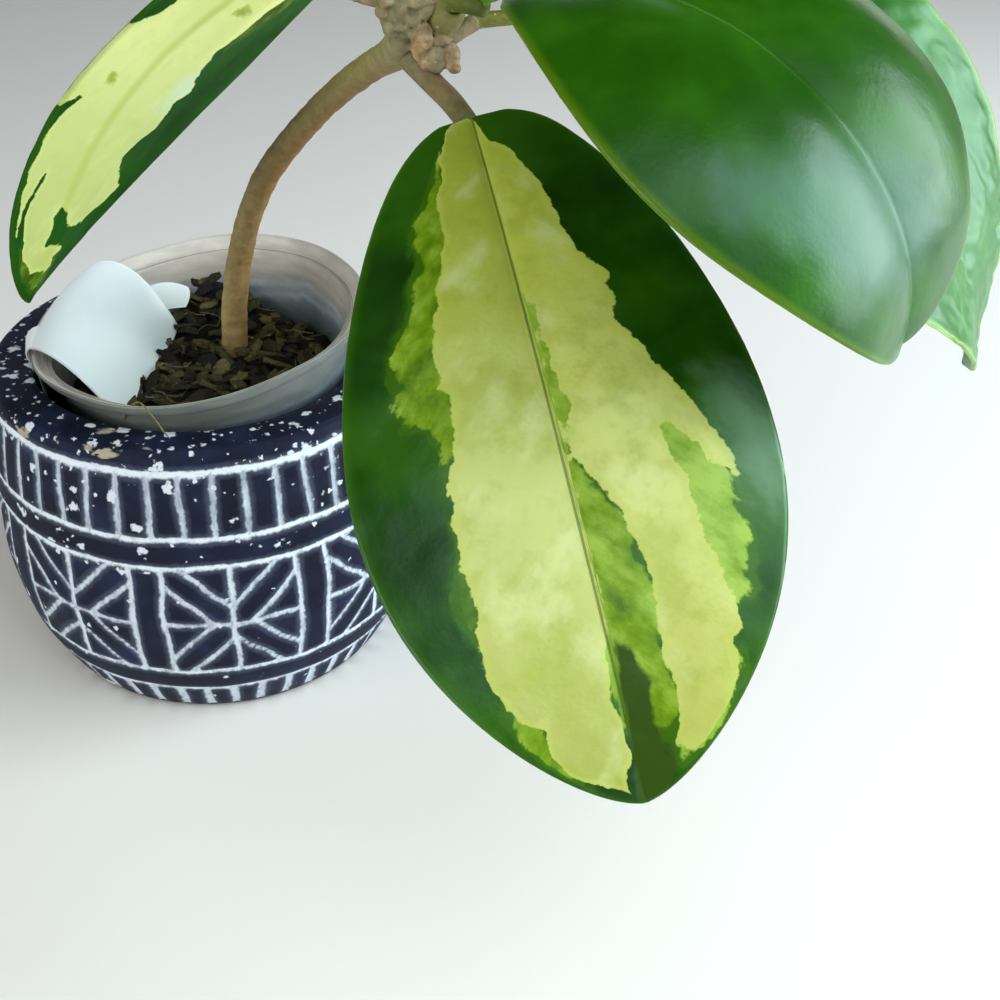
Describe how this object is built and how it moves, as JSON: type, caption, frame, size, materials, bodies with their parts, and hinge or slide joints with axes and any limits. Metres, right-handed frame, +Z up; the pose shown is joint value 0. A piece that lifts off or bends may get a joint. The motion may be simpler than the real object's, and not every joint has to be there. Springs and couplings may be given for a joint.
{
  "type": "potted hoya plant",
  "caption": "Vine with large fleshy variegated leaves on a leaning woody stem, in a plastic liner inside a round ribbed cover pot, with a blank plant tag.",
  "frame": {"origin": "middle of the ceramic pot's foot, on the surface that it stands on", "axes": "+Z up, +X to the right, -Y towards the side that the long leaf hangs over"},
  "size_m": [0.2127, 0.2423, 0.2057],
  "materials": {
    "pot_ceramic": "matt",
    "liner_plastic": "translucent",
    "soil_bark": "rough",
    "label_plastic": "gloss",
    "stem_bark": "rough",
    "leaf_variegated": "satin",
    "leaf_green": "satin",
    "leaf_pale_green": "satin"
  },
  "bodies": {
    "root": {"ceramic_pot": "pot_ceramic", "nursery_liner": "liner_plastic", "potting_soil": "soil_bark", "plant_label": "label_plastic", "main_stem": "stem_bark", "leaf_front": "leaf_variegated", "leaf_upper_right": "leaf_green", "leaf_back_right": "leaf_pale_green", "leaf_left": "leaf_variegated"}
  },
  "joints": []
}
